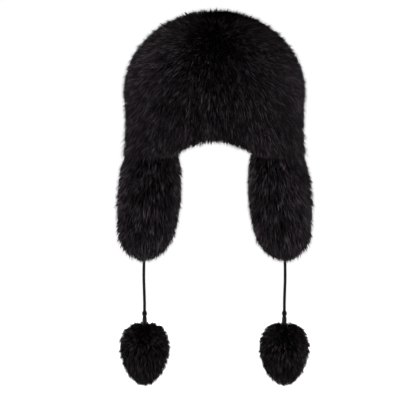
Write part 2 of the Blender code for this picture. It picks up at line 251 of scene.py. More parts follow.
def hair_directions(board, given, root, step):
    """Which way a hair leaves the form, and which way it points past its bend."""
    out = board.named("out")
    comb = board.named("comb")
    stand = board.named("stand", "FLOAT")
    wave = hair_wave(board, given, root)
    rise = board.math("MULTIPLY", given["Root Lift"], stand)
    low = board.vector("ADD", board.scaled(out, rise), comb)
    low = board.vector("NORMALIZE", board.vector("ADD", low, wave))
    # Most hairs lie lower than the tip's lift gives, and a few stand far above it
    prouder = board.math("POWER", drawn(board, given, step + 3), 2.0)
    prouder = board.math("SUBTRACT", board.math("MULTIPLY", prouder, 2.5), 1.0)
    prouder = board.math("MULTIPLY", prouder, given["Lift Spread"])
    rise = board.math("MULTIPLY", given["Tip Lift"], board.math("ADD", prouder, 1.0))
    high = board.vector("ADD", board.scaled(out, board.math("MULTIPLY", rise, stand)), comb)
    high = board.vector("ADD", high, board.scaled(wave, TIP_WAVE))
    stray = drawn(board, given, step + 1, (-1, -1, -1), (1, 1, 1), "FLOAT_VECTOR")
    high = board.vector("ADD", high, board.scaled(stray, given["Stray"]))
    return low, board.vector("NORMALIZE", high)


def hair_length(board, given, step):
    """A hair's length: some fall short of the pile, and more so where it frays."""
    frayed = board.math("ADD", given["Length Spread"], board.named("fray", "FLOAT"))
    shorter = board.math("POWER", drawn(board, given, step + 2), 1.5)
    shorter = board.math("MULTIPLY", shorter, frayed)
    length = board.math("MULTIPLY", given["Length"], board.math("SUBTRACT", 1.0, shorter))
    return board.math("MULTIPLY", length, board.named("pile", "FLOAT"))


def rooted_points(board, given, spacing, step):
    """Points all over the form, each with a root, a bend and a tip."""
    growth = board.named("growth", "FLOAT")
    feeds = {
        "Mesh": given["Form"],
        "Density": board.math("DIVIDE", growth, board.math("POWER", spacing, 2.0)),
        "Seed": board.math("ADD", given["Seed"], step),
    }
    spread = board.add("GeometryNodeDistributePointsOnFaces", feeds, distribute_method="RANDOM")
    points = board.stored(spread.outputs["Points"], "out", spread.outputs["Normal"])
    place = board.out("GeometryNodeInputPosition")
    low, high = hair_directions(board, given, place, step)
    length = hair_length(board, given, step)
    root = board.vector("SUBTRACT", place, board.scaled(board.named("out"), ROOT_DEPTH))
    lower = board.math("MULTIPLY", length, BEND_SHARE)
    upper = board.math("MULTIPLY", length, 1.0 - BEND_SHARE)
    bend = board.vector("ADD", root, board.scaled(low, lower))
    tip = board.vector("ADD", bend, board.scaled(high, upper))
    points = board.stored(points, "root", root)
    points = board.stored(points, "bend", bend)
    points = board.stored(points, "tip", tip)
    return board.stored(points, "tone", drawn(board, given, step + 4), "FLOAT")


def pulled_to_tufts(board, given, points, tufts):
    """Draws each hair towards the nearest tuft, whose tone it shares in part."""
    feeds = {"Geometry": tufts, "Sample Position": board.named("root")}
    nearest = board.out("GeometryNodeSampleNearest", feeds)

    def tuft_value(name, data_type="FLOAT_VECTOR"):
        feeds = {"Geometry": tufts, "Value": board.named(name, data_type), "Index": nearest}
        return board.out("GeometryNodeSampleIndex", feeds, data_type=data_type)

    least = drawn(board, given, PULL_STEP, LEAST_PULL)
    pulls = {"tip": board.math("MULTIPLY", given["Tuft Pull"], least)}
    pulls["bend"] = board.math("MULTIPLY", pulls["tip"], BEND_PULL)
    for name in pulls:
        points = board.stored(points, "tuft_" + name, tuft_value(name))
    for name, pull in pulls.items():
        place = board.mixed(pull, board.named(name), board.named("tuft_" + name))
        points = board.stored(points, name, place)
    shared_tone = board.math("MULTIPLY", tuft_value("tone", "FLOAT"), TUFT_TONE)
    own_tone = board.math("MULTIPLY", board.named("tone", "FLOAT"), 1.0 - TUFT_TONE)
    return board.stored(points, "tone", board.math("ADD", own_tone, shared_tone), "FLOAT")


def grown_hairs(board, given, points):
    """A slim hair on each point, on a curve from its root past its bend to its tip."""
    rings = board.math("ADD", given["Bends"], 1.0)
    feeds = {"Segments": given["Sides"], "Rings": rings, "Radius": 1.0}
    hair = board.out("GeometryNodeMeshUVSphere", feeds)
    hair = board.stored(hair, "own", board.out("GeometryNodeInputPosition"))
    hairs = board.out("GeometryNodeInstanceOnPoints", {"Points": points, "Instance": hair})
    hairs = board.out("GeometryNodeRealizeInstances", {"Geometry": hairs})

    own = board.add("ShaderNodeSeparateXYZ", (board.named("own"),)).outputs
    reach = board.math("MULTIPLY", board.math("ADD", own[2], 1.0), 0.5)
    reach = board.math("POWER", board.math("MAXIMUM", reach, 0.0), 0.75)
    left = board.math("SUBTRACT", 1.0, reach)
    middle = board.math("MULTIPLY", board.math("MULTIPLY", left, reach), 2.0)
    centre = board.scaled(board.named("root"), board.math("MULTIPLY", left, left))
    centre = board.vector("ADD", centre, board.scaled(board.named("bend"), middle))
    end = board.scaled(board.named("tip"), board.math("MULTIPLY", reach, reach))
    centre = board.vector("ADD", centre, end)

    run = board.vector("SUBTRACT", board.named("tip"), board.named("root"))
    across = board.vector("CROSS_PRODUCT", run, board.named("out"))
    across = board.vector("NORMALIZE", across)
    over = board.vector("NORMALIZE", board.vector("CROSS_PRODUCT", run, across))
    girth = board.math("MULTIPLY", given["Thickness"], 0.5)
    girth = board.math("MULTIPLY", girth, board.named("girth", "FLOAT"))
    place = board.scaled(across, board.math("MULTIPLY", own[0], girth))
    place = board.vector("ADD", place, board.scaled(over, board.math("MULTIPLY", own[1], girth)))
    place = board.vector("ADD", place, centre)
    hairs = board.out("GeometryNodeSetPosition", {"Geometry": hairs, "Position": place})
    return board.stored(hairs, "reach", reach, "FLOAT")


def with_cells(board, hairs, count):
    """Gives each hair a cell of its own on the map that its colours are baked to."""
    own = board.add("ShaderNodeSeparateXYZ", (board.named("own"),)).outputs
    reach = board.named("reach", "FLOAT")
    slot = board.named("slot", "FLOAT")
    columns = board.math("CEIL", board.math("SQRT", count))
    column = board.math("FLOORED_MODULO", slot, columns)
    line = board.math("FLOOR", board.math("DIVIDE", board.math("ADD", slot, 0.5), columns))
    across = board.math("ADD", 0.5, board.math("MULTIPLY", own[1], CELL_HALF_WIDTH))
    along = board.math("ADD", CELL_FOOT, board.math("MULTIPLY", reach, CELL_HEIGHT))
    u = board.math("DIVIDE", board.math("ADD", column, across), columns)
    v = board.math("DIVIDE", board.math("ADD", line, along), columns)
    cell = board.out("ShaderNodeCombineXYZ", (u, v, 0.0))
    return board.stored(hairs, "OFBake", cell, "FLOAT2", "CORNER")


def build_fur_tree():
    """Hairs rooted all over a form, combed along its comb attribute and drawn into tufts."""
    real = "NodeSocketFloat"
    board, given, result = new_group(
        "fur_hairs",
        "GeometryNodeTree",
        (
            ("Form", "NodeSocketGeometry", None),
            ("Spacing", real, 0.002),
            ("Length", real, 0.030),
            ("Length Spread", real, 0.35),
            ("Thickness", real, 0.0008),
            ("Thickness Spread", real, 0.35),
            ("Root Lift", real, 0.75),
            ("Tip Lift", real, 0.36),
            ("Lift Spread", real, 0.8),
            ("Stray", real, 0.15),
            ("Wave", real, 0.07),
            ("Wave Size", real, 0.03),
            ("Tuft Spacing", real, 0.008),
            ("Tuft Pull", real, 0.45),
            ("Sides", "NodeSocketInt", 3),
            ("Bends", "NodeSocketInt", 1),
            ("Seed", "NodeSocketInt", 1),
            ("Material", "NodeSocketMaterial", None),
        ),
        (("Hair", "NodeSocketGeometry", None),),
    )
    tufts = rooted_points(board, given, given["Tuft Spacing"], TUFT_STEP)
    points = rooted_points(board, given, given["Spacing"], HAIR_STEP)
    points = pulled_to_tufts(board, given, points, tufts)
    points = board.stored(points, "slot", board.out("GeometryNodeInputIndex"), "FLOAT")
    thinner = drawn(board, given, GIRTH_STEP, -1.0)
    thinner = board.math("MULTIPLY", thinner, given["Thickness Spread"])
    points = board.stored(points, "girth", board.math("ADD", thinner, 1.0), "FLOAT")
    count = board.out("GeometryNodeAttributeDomainSize", {0: points}, component="POINTCLOUD")

    hairs = with_cells(board, grown_hairs(board, given, points), count)
    hairs = board.out("GeometryNodeSetShadeSmooth", {0: hairs})
    hairs = board.out("GeometryNodeRealizeInstances", {"Geometry": hairs})
    feeds = {"Geometry": hairs, "Material": given["Material"]}
    board.feed(result[0], board.out("GeometryNodeSetMaterial", feeds))
    return board.tree


HELPER_ATTRIBUTES = ("out", "root", "bend", "tip", "tuft_tip", "tuft_bend", "own", "slot", "girth")
FORM_ATTRIBUTES = ("comb", "growth", "pile", "stand", "fray")


def grow_hair(name, form, tree, material, **values):
    """Hair on a form, as a plain mesh; values are the tree's inputs, with _ for each space."""
    holder = bpy.data.objects.new(name + "_growth", form.data.copy())
    bpy.context.collection.objects.link(holder)
    modifier = holder.modifiers.new("hair", "NODES")
    modifier.node_group = tree
    wanted = {key.replace("_", " ").title(): value for key, value in values.items()}
    wanted["Material"] = material
    for item in tree.interface.items_tree:
        if item.in_out == "INPUT" and item.name in wanted:
            modifier[item.identifier] = wanted.pop(item.name)
    assert not wanted, wanted
    graph = bpy.context.evaluated_depsgraph_get()
    mesh = bpy.data.meshes.new_from_object(holder.evaluated_get(graph), depsgraph=graph)
    holder.modifiers.remove(modifier)
    bpy.data.objects.remove(holder)
    mesh.name = name
    for used in HELPER_ATTRIBUTES + FORM_ATTRIBUTES:
        if used in mesh.attributes:
            mesh.attributes.remove(mesh.attributes[used])
    hair = bpy.data.objects.new(name, mesh)
    bpy.context.collection.objects.link(hair)
    return hair


# Forms under the hair


def turns(count):
    return [i / count for i in range(count)]


def up(height):
    return Vector((0.0, 0.0, height))


def held(value):
    """A value held between 0 and 1."""
    return min(1.0, max(0.0, value))


def nearness(distance, reach):
    """1 at no distance, fading away smoothly over the reach."""
    return math.exp(-((distance / reach) ** 2))


def section_size(sections, drop, column="size"):
    """Reads a column of a section table between its rows."""
    for above, below in zip(sections, sections[1:]):
        if drop <= below["drop"]:
            part = (drop - above["drop"]) / (below["drop"] - above["drop"])
            return above[column] + part * (below[column] - above[column])
    return sections[-1][column]


def add_ring(bm, points):
    return [bm.verts.new(point) for point in points]


def level_ring(centre, sides, height, radius):
    """Places round a centre at a height over it; the radius may be a function of the turn."""
    points = []
    for turn in turns(sides):
        angle = 2 * math.pi * turn
        size = radius(turn) if callable(radius) else radius
        points.append(centre + Vector((size * math.cos(angle), size * math.sin(angle), height)))
    return points


def add_wall(bm, rings):
    """Joins each ring to the next one."""
    for upper, lower in zip(rings, rings[1:]):
        for i in range(len(upper)):
            bm.faces.new((upper[i - 1], lower[i - 1], lower[i], upper[i]))


def add_pole(bm, ring, point):
    pole = bm.verts.new(point)
    for i in range(len(ring)):
        bm.faces.new((ring[i - 1], ring[i], pole))


def add_piece(name, bm, material):
    bmesh.ops.recalc_face_normals(bm, faces=bm.faces)
    mesh = bpy.data.meshes.new(name)
    bm.to_mesh(mesh)
    bm.free()
    mesh.shade_smooth()
    mesh.materials.append(material)
    piece = bpy.data.objects.new(name, mesh)
    bpy.context.collection.objects.link(piece)
    return piece


def no_fray(place):
    return 0.0


def comb_form(form, whorl, fall, growth, pile, stand, fray=no_fray):
    """Stores how hair lies on a form: away from its whorl and down, as functions of place."""
    mesh = form.data
    for key in FORM_ATTRIBUTES:
        mesh.attributes.new(key, "FLOAT_VECTOR" if key == "comb" else "FLOAT", "POINT")
    layers = {key: mesh.attributes[key].data for key in FORM_ATTRIBUTES}
    for i, vert in enumerate(mesh.vertices):
        normal = vert.normal
        away = vert.co - whorl
        away -= normal * away.dot(normal)
        down = up(-1.0)
        down -= normal * down.dot(normal)
        if away.length > 1e-6:
            away.normalize()
        comb = away + down * (fall(vert.co) if callable(fall) else fall)
        if comb.length > 1e-6:
            comb.normalize()
        layers["comb"][i].vector = comb
        layers["growth"][i].value = growth(vert.co, normal)
        layers["pile"][i].value = pile(vert.co, normal)
        layers["stand"][i].value = stand(vert.co, normal)
        layers["fray"][i].value = fray(vert.co)
    return form


def head_angle(x, y):
    """The angle round the head, from the middle of the front."""
    return math.atan2(x / HEAD_WIDTH, -y / HEAD_LENGTH)


def wall_spread(x, y):
    """How far out a place lies: 1 on the outside of the crown's wall."""
    return math.hypot(x / (HEAD_WIDTH / 2 + WALL), y / (HEAD_LENGTH / 2 + WALL))


def rim_height(angle):
    off_front = abs(math.remainder(angle, 2 * math.pi))
    if off_front >= BROW_HALF_ANGLE:
        return -SIDE_DEPTH
    rise = BROW_RISE * (1 + math.cos(math.pi * off_front / BROW_HALF_ANGLE)) / 2
    return rise - SIDE_DEPTH


def crown_point(turn, run, grown, top, dome_height, fullness, overhang=0.0, tuck=0.0):
    angle = 2 * math.pi * turn
    if run <= DOME_RUN:
        bend = run / DOME_RUN * math.pi / 2
        spread = math.sin(bend) ** (2 / fullness)
        height = top - dome_height * (1 - max(math.cos(bend), 0.0) ** (2 / fullness))
    else:
        part = (run - DOME_RUN) / (1 - DOME_RUN)
        shoulder = top - dome_height
        spread = 1 - tuck * part * part
        height = shoulder + part * (rim_height(angle) - overhang - shoulder)
    across = (HEAD_WIDTH / 2 + grown) * spread * math.sin(angle)
    along = -(HEAD_LENGTH / 2 + grown) * spread * math.cos(angle)
    return Vector((across, along, height))


def hollow_point(turn, run, grown=0.0):
    return crown_point(turn, run, grown, grown, HOLLOW_DOME_HEIGHT + grown, HOLLOW_FULLNESS)


def coat_tip_point(turn, run):
    grown = WALL + SIDE_PILE
    top = WALL + TOP_PILE
    return crown_point(
        turn, run, grown, top, COAT_DOME_HEIGHT, COAT_FULLNESS, COAT_OVERHANG, COAT_TUCK
    )


def coat_point(turn, run, share):
    """A place in the coat, from 0 on the crown's wall to 1 at the tips."""
    skin = hollow_point(turn, run, WALL + SEAT_GAP)
    return skin.lerp(coat_tip_point(turn, run), share)


COAT_SIDES = 96
COAT_ROWS = 36
COAT_INNER_STEP = 3
COAT_UNDER_SHARES = (0.8, 0.5, 0.22)
COAT_FORM_SHARE = 0.64
COAT_TOP_SHARE = 0.56
COAT_RIM_DROP = 0.007
RIM_ROUNDING = 0.32
RIM_ROUNDING_START = 0.5
RIM_BAND = 0.014
FLAP_MIDDLE = math.radians(91)
FLAP_SPAN = math.radians(35)
OUTSIDE_SPREAD = 1.02
UNDERSIDE_SLOPE = -0.6
CROWN_WHORL_REACH = 0.022
FALL_TOP = -0.03
FALL_RUN = 0.10
BACK_RUN = 0.08

# How the coat's hair differs at the rim, over the flaps, at the whorl and on the underside
COAT_GROWTH = {"rim": 1.1, "underside": 0.4}
COAT_PILE = {"rim": 0.20, "over_flap": 0.80, "whorl": 0.5, "underside": 0.55}
COAT_STAND = {"over_flap": 0.30, "whorl": 2.2}
COAT_FRAY = 0.55


def build_coat_form(material):
    bm = bmesh.new()
    runs = [(row + 1) / COAT_ROWS for row in range(COAT_ROWS)]

    def over_flap(place):
        angle = abs(head_angle(place.x, place.y))
        return math.exp(-(((angle - FLAP_MIDDLE) / FLAP_SPAN) ** 4))

    def dense_point(turn, run, share=1.0):
        depth = COAT_TOP_SHARE + (COAT_FORM_SHARE - COAT_TOP_SHARE) * min(1.0, run / DOME_RUN) ** 2
        down = max(0.0, (run - DOME_RUN) / (1 - DOME_RUN))
        free = 1.0 - over_flap(coat_point(turn, run, 1.0))
        low = max(0.0, (down - RIM_ROUNDING_START) / (1 - RIM_ROUNDING_START))
        depth *= 1.0 - RIM_ROUNDING * free * low**2
        place = coat_point(turn, run, depth * share)
        place.z -= COAT_RIM_DROP * share * down
        return place

    outer = [add_ring(bm, [dense_point(t, run) for t in turns(COAT_SIDES)]) for run in runs]
    inner = [
        add_ring(bm, [hollow_point(t, run, WALL + SEAT_GAP) for t in turns(COAT_SIDES)])
        for run in runs[COAT_INNER_STEP - 1 :: COAT_INNER_STEP]
    ]
    under = [
        add_ring(bm, [dense_point(t, 1.0, share) for t in turns(COAT_SIDES)])
        for share in COAT_UNDER_SHARES
    ]
    add_pole(bm, outer[0], coat_point(0.0, 0.0, COAT_TOP_SHARE))
    add_pole(bm, inner[0], hollow_point(0.0, 0.0, WALL + SEAT_GAP))
    add_wall(bm, outer + under + inner[::-1])
    form = add_piece("crown_fur_base", bm, material)

    def on_outside(place, normal):
        facing = Vector((place.x, place.y, place.z + SIDE_DEPTH)).dot(normal)
        return facing > 0 or wall_spread(place.x, place.y) > OUTSIDE_SPREAD

    def at_rim(place):
        return nearness(place.z - rim_height(head_angle(place.x, place.y)), RIM_BAND)

    def at_whorl(place):
        return nearness((place - CROWN_WHORL).length, CROWN_WHORL_REACH)

    def fall(place):
        low = held((FALL_TOP - place.z) / FALL_RUN)
        behind = held(place.y / BACK_RUN)
        return CROWN_FALL + (RIM_FALL + BACK_FALL * behind - CROWN_FALL) * low * low

    def growth(place, normal):
        if not on_outside(place, normal):
            return 0.0
        under = COAT_GROWTH["underside"] if normal.z < UNDERSIDE_SLOPE else 1.0
        return (1.0 + COAT_GROWTH["rim"] * at_rim(place)) * under

    def pile(place, normal):
        rim = at_rim(place) * (COAT_PILE["over_flap"] * over_flap(place) - COAT_PILE["rim"])
        under = COAT_PILE["underside"] if normal.z < UNDERSIDE_SLOPE else 1.0
        return (1.0 + rim - COAT_PILE["whorl"] * at_whorl(place)) * under

    def fray(place):
        return COAT_FRAY * at_rim(place) * over_flap(place)

    def stand(place, normal):
        laid = COAT_STAND["over_flap"] * at_rim(place) * over_flap(place)
        return 1.0 + COAT_STAND["whorl"] * at_whorl(place) - laid

    return comb_form(form, CROWN_WHORL, fall, growth, pile, stand, fray)


def flap_roof(x, y):
    """The coat's underside, which a flap's top fits under."""
    off_wall = abs(wall_spread(x, y) - 1) * (HEAD_WIDTH / 2 + WALL)
    return rim_height(head_angle(abs(x), y)) - FLAP_HEADROOM - COAT_HANG * off_wall / SIDE_PILE


def flap_place(side, fore, out, drop=0.0):
    bend = FLAP_OUT + FLAP_LEAN * drop**2
    angle = FLAP_TURN + fore / bend
    away = bend + out
    return Vector((side * away * math.cos(angle), -away * math.sin(angle), 0.0))


def flap_point(side, turn, drop, inset):
    angle = 2 * math.pi * turn
    size = section_size(FLAP_SECTIONS, drop)
    sunk = inset * math.sqrt(size)
    half = size if math.cos(angle) > 0 else section_size(FLAP_SECTIONS, drop, "aft")
    fore = (FLAP_BREADTH / 2 * half - sunk) * math.cos(angle)
    girth = size if math.sin(angle) < 0 else section_size(FLAP_SECTIONS, drop, "outer")
    out = (FLAP_THICKNESS / 2 * girth - sunk) * math.sin(angle)
    place = flap_place(side, fore, out, drop)
    roof = flap_roof(place.x, place.y)
    place.z = roof + (FLAP_BOTTOM + inset - roof) * drop
    return place


def flap_foot(side):
    foot = flap_place(side, 0.0, 0.0, 1.0)
    foot.z = FLAP_BOTTOM + FLAP_LOCK_RELIEF
    return foot


FLAP_SIDES = 48
FLAP_ROWS = 24
FLAP_LAST_DROP = 0.98
FLAP_FORM_INSET = 0.0105
FLAP_FOOT_LIFT = 0.001
FLAP_WHORL_FORE = 0.012
FLAP_WHORL_OUT = -0.008
FLAP_TOP_SLOPE = 0.8
FLAP_TOP_GROWTH = 0.3
FLAP_TOP_PILE = 0.6
FLAP_TOP_GAP = 0.002
FLAP_TOP_RUN = 0.02


def build_flap_form(name, side, material):
    bm = bmesh.new()
    drops = [row / FLAP_ROWS for row in range(FLAP_ROWS)] + [FLAP_LAST_DROP]
    rings = [
        add_ring(bm, [flap_point(side, t, drop, FLAP_FORM_INSET) for t in turns(FLAP_SIDES)])
        for drop in drops
    ]
    middle = flap_place(side, 0.0, 0.0)
    middle.z = flap_roof(middle.x, middle.y)
    add_pole(bm, rings[0], middle)
    add_wall(bm, rings)
    add_pole(bm, rings[-1], flap_foot(side) + up(FLAP_FOOT_LIFT))
    form = add_piece(name, bm, material)
    whorl = flap_place(side, FLAP_WHORL_FORE, FLAP_WHORL_OUT)
    whorl.z = middle.z + FLAP_WHORL_RISE

    def growth(place, normal):
        return FLAP_TOP_GROWTH if normal.z > FLAP_TOP_SLOPE else 1.0

    def pile(place, normal):
        below = held((middle.z - FLAP_TOP_GAP - place.z) / FLAP_TOP_RUN)
        return FLAP_TOP_PILE + (1 - FLAP_TOP_PILE) * below

    def stand(place, normal):
        return 1.0

    return comb_form(form, whorl, FLAP_FALL, growth, pile, stand)


# Cords and what hangs on them


def cord_start(side):
    return flap_foot(side) - up(SEAT_GAP)


def knot_foot(side):
    return cord_start(side) - up(CORD_DROP + KNOT_HEIGHT)


def sleeve_foot(side):
    return knot_foot(side) - up(SEAT_GAP + SLEEVE_LENGTH)


def pompom_seat(side):
    return sleeve_foot(side) - up(SEAT_GAP)


def smooth_point(before, start, end, after, part):
    pull = (end - before) / 2
    push = (after - start) / 2
    return (
        start * (2 * part**3 - 3 * part**2 + 1)
        + end * (3 * part**2 - 2 * part**3)
        + pull * (part**3 - 2 * part**2 + part)
        + push * (part**3 - part**2)
    )


def cord_points(side, spacing):
    start = cord_start(side)
    stops = [
        start + CORD_DROP * Vector((side * row["aside"], -row["fore"], -row["down"]))
        for row in CORD_ROUTE
    ]
    anchor = pompom_seat(side) - up(CORD_ANCHOR_DEPTH)
    ends = [stops[0] * 2 - stops[1]] + stops + [anchor]
    places = []
    for i in range(1, len(ends) - 2):
        steps = max(1, round((ends[i + 1] - ends[i]).length / spacing))
        for step in range(steps):
            places.append(smooth_point(*ends[i - 1 : i + 3], step / steps))
    steps = math.ceil((anchor - stops[-1]).length / spacing)
    places += [stops[-1].lerp(anchor, step / steps) for step in range(steps + 1)]
    return places


CORD_SIDES = 24
CORD_RING_SPACING = 0.0005
BRAID_STRANDS = 4
BRAID_PITCH = 0.0075
BRAID_RELIEF = 0.00042


def build_cord(name, side, material):
    """A round braid: strands wind both ways and pass over each other in turn."""
    bm = bmesh.new()
    layer = bm.loops.layers.uv.new("UVMap")
    places = cord_points(side, CORD_RING_SPACING)
    rings = []
    run = 0.0
    runs = []
    for i, place in enumerate(places):
        if i:
            run += (place - places[i - 1]).length
        runs.append(run)
        ring = []
        for k in range(CORD_SIDES):
            angle = 2 * math.pi * k / CORD_SIDES
            wind = 2 * math.pi * run / BRAID_PITCH
            one = abs(math.cos(BRAID_STRANDS * angle / 2 + wind))
            other = abs(math.cos(BRAID_STRANDS * angle / 2 - wind))
            radius = CORD_DIAMETER / 2 - BRAID_RELIEF * (1 - max(one, other))
            offset = Vector((radius * math.cos(angle), radius * math.sin(angle), 0.0))
            ring.append(place + offset)
        rings.append(add_ring(bm, ring))
    for i, (upper, lower) in enumerate(zip(rings, rings[1:])):
        for k in range(CORD_SIDES):
            after = (k + 1) % CORD_SIDES
            face = bm.faces.new((upper[k], lower[k], lower[after], upper[after]))
            corners = ((k, i), (k, i + 1), (k + 1, i + 1), (k + 1, i))
            for loop, (turn, step) in zip(face.loops, corners):
                loop[layer].uv = (turn / CORD_SIDES, runs[step] / BRAID_PITCH)
    bm.faces.new(rings[0])
    bm.faces.new(rings[-1])
    return add_piece(name, bm, material)


KNOT_TURNS = 3
KNOT_SIDES = 40
KNOT_ROWS = 28
KNOT_ROUNDING = 1.72
KNOT_END_SIZE = 0.12
KNOT_GROOVE = 0.14
KNOT_GROOVE_POWER = 0.6
KNOT_BORE_EDGE = 0.0002
KNOT_LEAST_WALL = 0.0001


def build_knot(name, side, material):
    """The cord's end wound tightly on itself and drawn into a bead."""
    bm = bmesh.new()
    foot = knot_foot(side)
    bore = CORD_DIAMETER / 2 + SEAT_GAP

    rings = [add_ring(bm, level_ring(foot, KNOT_SIDES, KNOT_BORE_EDGE, bore))]
    for row in range(KNOT_ROWS + 1):
        rise = row / KNOT_ROWS
        belly = math.sqrt(max(0.0, 1 - (KNOT_ROUNDING * (rise - 0.5)) ** 2))
        size = KNOT_WIDTH / 2 * (KNOT_END_SIZE + (1 - KNOT_END_SIZE) * belly)

        def wound(turn):
            wrap = abs(math.sin(math.pi * (KNOT_TURNS * rise + turn)))
            radius = size * (1 - KNOT_GROOVE + KNOT_GROOVE * wrap**KNOT_GROOVE_POWER)
            return max(radius, bore + KNOT_LEAST_WALL)

        rings.append(add_ring(bm, level_ring(foot, KNOT_SIDES, KNOT_HEIGHT * rise, wound)))
    top_edge = KNOT_HEIGHT - KNOT_BORE_EDGE
    rings.append(add_ring(bm, level_ring(foot, KNOT_SIDES, top_edge, bore)))
    add_wall(bm, rings + rings[:1])
    return add_piece(name, bm, material)


SLEEVE_SIDES = 40
SLEEVE_EDGE_ANGLE = math.radians(50)


def build_sleeve(name, side, material):
    bm = bmesh.new()
    foot = sleeve_foot(side)
    bore = CORD_DIAMETER / 2 + SEAT_GAP
    outline = [(bore, 0.0)]
    outline += [(r["size"] * SLEEVE_WIDTH / 2, r["rise"] * SLEEVE_LENGTH) for r in SLEEVE_PROFILE]
    outline.append((bore, SLEEVE_LENGTH))
    rings = [
        add_ring(bm, level_ring(foot, SLEEVE_SIDES, height, radius)) for radius, height in outline
    ]
    add_wall(bm, rings + rings[:1])
    sleeve = add_piece(name, bm, material)
    sleeve.data.set_sharp_from_angle(angle=SLEEVE_EDGE_ANGLE)
    return sleeve


POMPOM_SIDES = 40
POMPOM_ROWS = 20
POMPOM_FORM_INSET = 0.0085
POMPOM_FIRST_DROP = 0.03
POMPOM_DROP_RUN = 0.94
POMPOM_SEAT_DEPTH = 0.0004
POMPOM_RIM_DEPTH = 0.0006
POMPOM_BARE_MARGIN = 0.0025

# How the pompom's hair differs down its length, near its seat and near its foot
POMPOM_GROWTH = {"seat": 2.0, "seat_reach": 0.015}
POMPOM_PILE = {"top": 0.82, "down": 0.32, "seat": 0.20, "foot": 0.50}
POMPOM_PILE_REACH = {"seat": 0.008, "foot": 0.014}
POMPOM_STAND = {"top": 2.6, "down": 1.5, "foot": 2.2}
POMPOM_STAND_REACH = {"down": 0.5, "foot": 0.012}


def build_pompom_form(name, side, material):
    bm = bmesh.new()
    seat = pompom_seat(side)
    inset = POMPOM_FORM_INSET
    bottom = POMPOM_SHOULDER_RISE - POMPOM_LENGTH + inset
    foot = seat + up(bottom)
    whorl = seat + up(POMPOM_WHORL_RISE)
    rings = [add_ring(bm, level_ring(seat, POMPOM_SIDES, -POMPOM_SEAT_DEPTH, SLEEVE_WIDTH / 2))]
    for row in range(POMPOM_ROWS):
        drop = POMPOM_FIRST_DROP + POMPOM_DROP_RUN * row / POMPOM_ROWS
        size = section_size(POMPOM_SECTIONS, drop)
        radius = POMPOM_WIDTH / 2 * size - inset * math.sqrt(size)
        height = POMPOM_SHOULDER_RISE - inset - (POMPOM_LENGTH - 2 * inset) * drop
        height = min(height, -POMPOM_RIM_DEPTH)
        rings.append(add_ring(bm, level_ring(seat, POMPOM_SIDES, height, radius)))
    add_pole(bm, rings[0], seat - up(POMPOM_SEAT_DEPTH))
    add_wall(bm, rings)
    add_pole(bm, rings[-1], foot)
    form = add_piece(name, bm, material)

    def growth(place, normal):
        off_seat = (place - seat).length
        if off_seat < SLEEVE_WIDTH / 2 + POMPOM_BARE_MARGIN:
            return 0.0
        return 1.0 + POMPOM_GROWTH["seat"] * nearness(off_seat, POMPOM_GROWTH["seat_reach"])

    def pile(place, normal):
        down = held((seat.z - place.z) / POMPOM_LENGTH)
        at_foot = nearness((place - foot).length, POMPOM_PILE_REACH["foot"])
        at_seat = nearness((place - seat).length, POMPOM_PILE_REACH["seat"])
        longer = POMPOM_PILE["top"] + POMPOM_PILE["down"] * down
        return longer - POMPOM_PILE["foot"] * at_foot - POMPOM_PILE["seat"] * at_seat

    def stand(place, normal):
        down = held((seat.z - place.z) / POMPOM_LENGTH / POMPOM_STAND_REACH["down"])
        at_foot = nearness((place - foot).length, POMPOM_STAND_REACH["foot"])
        return POMPOM_STAND["top"] - POMPOM_STAND["down"] * down + POMPOM_STAND["foot"] * at_foot

    return comb_form(form, whorl, POMPOM_FALL, growth, pile, stand)


# Lining

LINING_SIDES = 96
LINING_ROWS = 30
LINING_PANELS = 6
LINING_SEAM_DEPTH = 0.0009
LINING_SEAM_REACH = 0.035


def build_lining(material):
    """The crown's padded wall, lined in panels that meet in seams."""
    bm = bmesh.new()
    runs = [(row + 1) / LINING_ROWS for row in range(LINING_ROWS)]

    def lining_point(turn, run):
        offset = abs(math.remainder(turn * LINING_PANELS + 0.5, 1.0))
        seam = nearness(offset, LINING_SEAM_REACH)
        return hollow_point(turn, run, LINING_SEAM_DEPTH * seam)

    inner = [add_ring(bm, [lining_point(t, run) for t in turns(LINING_SIDES)]) for run in runs]
    outer = [
        add_ring(bm, [hollow_point(t, run, WALL) for t in turns(LINING_SIDES)]) for run in runs
    ]
    add_pole(bm, inner[0], hollow_point(0.0, 0.0))
    add_pole(bm, outer[0], hollow_point(0.0, 0.0, WALL))
    add_wall(bm, outer + inner[::-1])
    return add_piece("crown_lining", bm, material)


# Finishes


